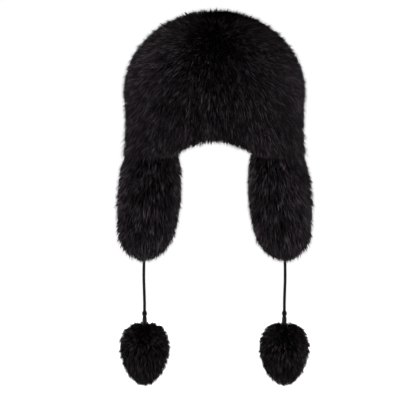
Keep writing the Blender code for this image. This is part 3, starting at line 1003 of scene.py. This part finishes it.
def build_hair_tone():
    """Colour and roughness of hair: painted shade darkens it towards the root, a painted sheen
    lightens the tips of the glossiest hairs in patches, and each hair is a little different.
    """
    colour = "NodeSocketColor"
    real = "NodeSocketFloat"
    board, given, result = new_group(
        "hair_tone",
        "ShaderNodeTree",
        (
            ("Root Colour", colour, (0.004, 0.003, 0.004, 1.0)),
            ("Tip Colour", colour, (0.020, 0.016, 0.019, 1.0)),
            ("Shine Colour", colour, (0.045, 0.037, 0.043, 1.0)),
            ("Patch Size", real, 0.03),
            ("Roughness", real, 0.45),
            ("Roughness Spread", real, 0.15),
        ),
        (("Colour", colour, None), ("Roughness", real, None)),
    )
    reach = board.out("ShaderNodeAttribute", output="Fac", attribute_name="reach")
    tone = board.out("ShaderNodeAttribute", output="Fac", attribute_name="tone")
    place = board.out("ShaderNodeTexCoord", output="Object")
    patch_scale = board.math("DIVIDE", 1.0, given["Patch Size"])
    patch = board.out("ShaderNodeTexNoise", {"Vector": place, "Scale": patch_scale})
    # Painted shade: the colour darkens from tip to root, standing in for shade deep among the
    # hairs; each hair's own random tone sets how far it lightens.
    rise = board.math("MULTIPLY", board.math("POWER", reach, 0.8), board.math("POWER", tone, 1.5))
    base = board.blended(rise, given["Root Colour"], given["Tip Colour"])
    # Painted highlight: the shine colour, mixed into the base colour of the highest-toned hairs
    # towards their tips and in noise patches, stands in for light glinting on the strands.
    painted_sheen_amount = board.math("MULTIPLY", board.math("POWER", tone, 5.0), reach)
    painted_sheen_amount = board.math("MULTIPLY", painted_sheen_amount, board.math("MULTIPLY", patch, 2.0))
    board.feed(result["Colour"], board.blended(painted_sheen_amount, base, given["Shine Colour"]))
    rough = board.math("MULTIPLY", tone, given["Roughness Spread"])
    board.feed(result["Roughness"], board.math("ADD", given["Roughness"], rough))
    return board.tree


def build_weave():
    """A plain weave on Object coordinates: its height, and a mask of the gaps between threads."""
    real = "NodeSocketFloat"
    board, given, result = new_group(
        "weave",
        "ShaderNodeTree",
        (("Thread Spacing", real, 0.0006), ("Unevenness", real, 0.3)),
        (("Height", real, None), ("Gaps", real, None)),
    )
    place = board.out("ShaderNodeTexCoord", output="Object")
    per_thread = board.math("DIVIDE", 2 * math.pi, given["Thread Spacing"])
    axes = board.add("ShaderNodeSeparateXYZ", (board.scaled(place, per_thread),)).outputs
    along = board.math("SINE", board.math("ADD", axes[0], axes[1]))
    across = board.math("SINE", axes[2])
    height = board.math("MULTIPLY", along, across)
    grain_scale = board.math("DIVIDE", 0.1, given["Thread Spacing"])
    grain = board.out("ShaderNodeTexNoise", {"Vector": place, "Scale": grain_scale})
    grain = board.math("MULTIPLY", board.math("SUBTRACT", grain, 0.5), given["Unevenness"])
    height = board.math("ADD", height, grain)
    board.feed(result["Height"], height)
    board.feed(result["Gaps"], board.math("LESS_THAN", height, -0.35))
    return board.tree


def new_material(name, roughness, specular=0.5):
    """A material, its board and the sockets of its Principled shader."""
    material = bpy.data.materials.new(name)
    material.use_nodes = True
    shader = material.node_tree.nodes["Principled BSDF"]
    shader.inputs["Roughness"].default_value = roughness
    shader.inputs["Specular IOR Level"].default_value = specular
    return material, Board(material.node_tree), shader.inputs


def place_group(board, tree, **values):
    node = board.add("ShaderNodeGroup", node_tree=tree)
    for label, value in values.items():
        node.inputs[label.replace("_", " ").title()].default_value = value
    return node.outputs


def hair_material(name, tone, root, tip, shine, roughness, roughness_spread, patch_size, specular):
    material, board, shader = new_material(name, roughness, specular)
    values = place_group(
        board,
        tone,
        root_colour=(*root, 1.0),
        tip_colour=(*tip, 1.0),
        shine_colour=(*shine, 1.0),
        roughness=roughness,
        roughness_spread=roughness_spread,
        patch_size=patch_size,
    )
    board.feed(shader["Base Color"], values["Colour"])
    board.feed(shader["Roughness"], values["Roughness"])
    return material


def skin_material():
    """The hide and dense down under the hair, nearly black."""
    material, board, shader = new_material("fur_base", 0.9, specular=0.05)
    place = board.out("ShaderNodeTexCoord", output="Object")
    down = board.out("ShaderNodeTexNoise", {"Vector": place, "Scale": 400.0, "Detail": 3.0})
    dark = (0.0006, 0.0005, 0.0006, 1.0)
    light = (0.003, 0.0025, 0.003, 1.0)
    board.feed(shader["Base Color"], board.blended(down, dark, light))
    bump = board.out("ShaderNodeBump", {"Strength": 0.6, "Distance": 0.001, "Height": down})
    board.feed(shader["Normal"], bump)
    return material


def cloth_material(name, weave, base, gap_shade, roughness, thread, bump_strength, specular):
    """Woven yarn, with painted shade in the gaps between its threads."""
    material, board, shader = new_material(name, roughness, specular)
    values = place_group(board, weave, thread_spacing=thread)
    # Painted shade: the gap colour darkens the low places between the threads.
    colour = board.blended(values["Gaps"], (*base, 1.0), (*gap_shade, 1.0))
    board.feed(shader["Base Color"], colour)
    bump = board.out(
        "ShaderNodeBump",
        {"Strength": bump_strength, "Distance": thread / 4, "Height": values["Height"]},
    )
    board.feed(shader["Normal"], bump)
    return material


def sleeve_material():
    """A dull dark sleeve with fine scuffs."""
    material, board, shader = new_material("sleeve", 0.5, specular=0.12)
    place = board.out("ShaderNodeTexCoord", output="Object")
    scuff = board.out("ShaderNodeTexNoise", {"Vector": place, "Scale": 900.0, "Detail": 4.0})
    dark = (0.003, 0.003, 0.0036, 1.0)
    light = (0.0065, 0.006, 0.0072, 1.0)
    board.feed(shader["Base Color"], board.blended(scuff, dark, light))
    rough = board.math("ADD", 0.42, board.math("MULTIPLY", scuff, 0.2))
    board.feed(shader["Roughness"], rough)
    bump = board.out("ShaderNodeBump", {"Strength": 0.2, "Distance": 0.0002, "Height": scuff})
    board.feed(shader["Normal"], bump)
    return material


# Stage

FLOOR_HEIGHT = -0.72
FLOOR_REACH = 40.0
VIEW_ELEVATION = math.radians(7)
VIEW_DISTANCE = 3.2
VIEW_WIDTH = 0.578
VIEW_CENTRE = Vector((-0.009, 0.0, -0.2367))
SENSOR_WIDTH = 36.0
LIGHT_TARGET = Vector((0.0, 0.0, -0.20))
LIGHTS = {
    "left_window": {"place": (-1.85, -0.95, -0.42), "size": (1.2, 0.6), "power": 36.0},
    "right_window": {"place": (1.85, -0.95, -0.42), "size": (1.2, 0.6), "power": 26.5},
    "back_window": {"place": (0.3, 1.9, -0.38), "size": (1.4, 0.6), "power": 20.0},
}


def add_camera():
    data = bpy.data.cameras.new("camera")
    data.sensor_width = SENSOR_WIDTH
    data.sensor_fit = "HORIZONTAL"
    data.lens = SENSOR_WIDTH * VIEW_DISTANCE / VIEW_WIDTH
    data.clip_end = 100.0
    camera = bpy.data.objects.new("camera", data)
    toward = Vector((0.0, math.cos(VIEW_ELEVATION), -math.sin(VIEW_ELEVATION)))
    camera.location = VIEW_CENTRE - toward * VIEW_DISTANCE
    camera.rotation_euler = toward.to_track_quat("-Z", "Y").to_euler()
    bpy.context.collection.objects.link(camera)
    bpy.context.scene.camera = camera
    bpy.context.scene.view_settings.view_transform = "Standard"


def add_floor():
    bm = bmesh.new()
    bmesh.ops.create_grid(bm, x_segments=1, y_segments=1, size=FLOOR_REACH)
    bmesh.ops.translate(bm, verts=bm.verts, vec=(0.0, 0.0, FLOOR_HEIGHT))
    mesh = bpy.data.meshes.new("floor")
    bm.to_mesh(mesh)
    bm.free()
    material, _, shader = new_material("floor", 0.9)
    shader["Base Color"].default_value = (0.50, 0.50, 0.50, 1.0)
    shader["Emission Color"].default_value = (1.0, 1.0, 1.0, 1.0)
    shader["Emission Strength"].default_value = 0.98
    mesh.materials.append(material)
    floor = bpy.data.objects.new("floor", mesh)
    bpy.context.collection.objects.link(floor)


def add_light(name, place, size, power):
    data = bpy.data.lights.new(name, "AREA")
    data.shape = "RECTANGLE"
    data.size = size[0]
    data.size_y = size[1]
    data.energy = power
    light = bpy.data.objects.new(name, data)
    light.visible_camera = False
    light.location = place
    light.rotation_euler = (LIGHT_TARGET - Vector(place)).to_track_quat("-Z", "Y").to_euler()
    bpy.context.collection.objects.link(light)


def add_world():
    """A white surround that darkens overhead."""
    world = bpy.data.worlds.new("surround")
    world.use_nodes = True
    bpy.context.scene.world = world
    board = Board(world.node_tree)
    ray = board.out("ShaderNodeTexCoord", output="Generated")
    height = board.add("ShaderNodeSeparateXYZ", (ray,)).outputs[2]
    ramp = board.add("ShaderNodeValToRGB", (height,))
    stops = ramp.color_ramp.elements
    stops[0].position = 0.05
    stops[0].color = (1.0, 1.0, 1.0, 1.0)
    stops[1].position = 0.24
    stops[1].color = (0.02, 0.02, 0.02, 1.0)
    background = world.node_tree.nodes["Background"]
    board.feed(background.inputs["Color"], ramp.outputs[0])
    background.inputs["Strength"].default_value = 1.0


# The hat

tone = build_hair_tone()
weave = build_weave()
base_material = skin_material()
# Painted shade: each hair material's root colour darkens the hairs towards their roots, standing
# in for shade deep in the coat.
LONG_HAIR = {
    "root": (0.0008, 0.0006, 0.0008),
    "roughness": 0.36,
    "roughness_spread": 0.40,
    "patch_size": 0.04,
}
# Painted highlight: each hair material's shine colour is a painted sheen on the tips of the
# glossiest hairs.
guard_material = hair_material(
    "guard_hair",
    tone,
    tip=(0.0054, 0.0042, 0.0050),
    shine=(0.125, 0.096, 0.114),
    specular=0.045,
    **LONG_HAIR,
)
# Painted light: the flaps carry the same fur as the guard hair, given lighter tips and a stronger
# painted sheen because the flaps catch more light.
flap_painted_light_material = hair_material(
    "flap_hair",
    tone,
    tip=(0.0125, 0.0097, 0.0117),
    shine=(0.152, 0.116, 0.140),
    specular=0.06,
    **LONG_HAIR,
)
under_material = hair_material(
    "underfur",
    tone,
    root=(0.0006, 0.0005, 0.0006),
    tip=(0.005, 0.0038, 0.0048),
    shine=(0.016, 0.0125, 0.0155),
    roughness=0.60,
    roughness_spread=0.20,
    patch_size=0.03,
    specular=0.03,
)
lining_material = cloth_material(
    "lining_cloth",
    weave,
    base=(0.012, 0.0105, 0.012),
    gap_shade=(0.004, 0.0035, 0.004),
    roughness=0.55,
    thread=0.0006,
    bump_strength=0.3,
    specular=0.25,
)
cord_material = cloth_material(
    "cord_yarn",
    weave,
    base=(0.0045, 0.0038, 0.0045),
    gap_shade=(0.0015, 0.0012, 0.0015),
    roughness=0.6,
    thread=0.0003,
    bump_strength=0.35,
    specular=0.08,
)
sleeve_finish = sleeve_material()
fur_tree = build_fur_tree()

coat_form = build_coat_form(base_material)
flap_forms = {}
pompom_forms = {}
pieces = []

for word, side in SIDES.items():
    flap_forms[word] = build_flap_form("ear_flap_base_" + word, side, base_material)
    pompom_forms[word] = build_pompom_form("pompom_base_" + word, side, base_material)

COAT_UNDERFUR = {"spacing": 0.0045, "length": 0.022, "thickness": 0.0016}
COAT_HAIR = {"spacing": 0.00229, "length": 0.0305, "thickness": 0.0012, "wave": 0.04}
PROUD_HAIR = {"length": 0.0275, "tip_lift": 0.95, "tuft_spacing": 0.0042, "tuft_pull": 0.5}
coat_layers = {
    "crown_underfur": (under_material, dict(COAT_UNDERFUR, seed=10, tuft_pull=0.3)),
    "crown_hair_first": (guard_material, dict(COAT_HAIR, seed=20)),
    "crown_hair_second": (guard_material, dict(COAT_HAIR, seed=30)),
    "crown_hair_third": (guard_material, dict(COAT_HAIR, **PROUD_HAIR, seed=50)),
}
for name, (material, values) in coat_layers.items():
    piece = grow_hair(name, coat_form, fur_tree, material, **values)
    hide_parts("crown_fur")
    pieces.append(piece)
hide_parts("crown_fur")
pieces.append(coat_form)

FLAP_HAIR = {
    "spacing": 0.00170,
    "length": 0.0255,
    "thickness": 0.0011,
    "tip_lift": 0.47,
    "wave": 0.02,
    "stray": 0.08,
    "tuft_pull": 0.25,
}
POMPOM_HAIR = {
    "spacing": 0.00122,
    "length": 0.021,
    "thickness": 0.0009,
    "tip_lift": 0.48,
    "wave": 0.02,
    "length_spread": 0.45,
    "stray": 0.16,
    "tuft_spacing": 0.0036,
    "tuft_pull": 0.52,
}
for word, side in SIDES.items():
    form = flap_forms[word]
    hair = grow_hair(
        "ear_flap_hair_" + word, form, fur_tree, flap_painted_light_material, seed=40 + side, **FLAP_HAIR
    )
    for piece in (form, hair):
        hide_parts("ear_flap_" + word)
        pieces.append(piece)

    form = pompom_forms[word]
    hair = grow_hair(
        "pompom_hair_" + word, form, fur_tree, guard_material, seed=60 + side, **POMPOM_HAIR
    )
    for piece in (form, hair):
        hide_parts("pompom_" + word)
        pieces.append(piece)

    cord = build_cord("tie_cord_braid_" + word, side, cord_material)
    knot = build_knot("cord_knot_wound_" + word, side, cord_material)
    sleeve = build_sleeve("cord_sleeve_turned_" + word, side, sleeve_finish)
    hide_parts("tie_cord_" + word)
    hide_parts("cord_knot_" + word)
    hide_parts("cord_sleeve_" + word)
    pieces += [cord, knot, sleeve]
    route = cord_points(side, CORD_POINT_SPACING)
    length = sum((b - a).length for a, b in zip(route, route[1:]))
    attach(cord, "root")
    tuple(cord_start(side))
    [tuple(place) for place in route]

lining = build_lining(lining_material)
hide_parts("crown")
pieces.append(lining)

for piece in pieces:
    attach(piece, "root")

add_camera()
add_floor()
add_world()
for name, values in LIGHTS.items():
    add_light(name, **values)
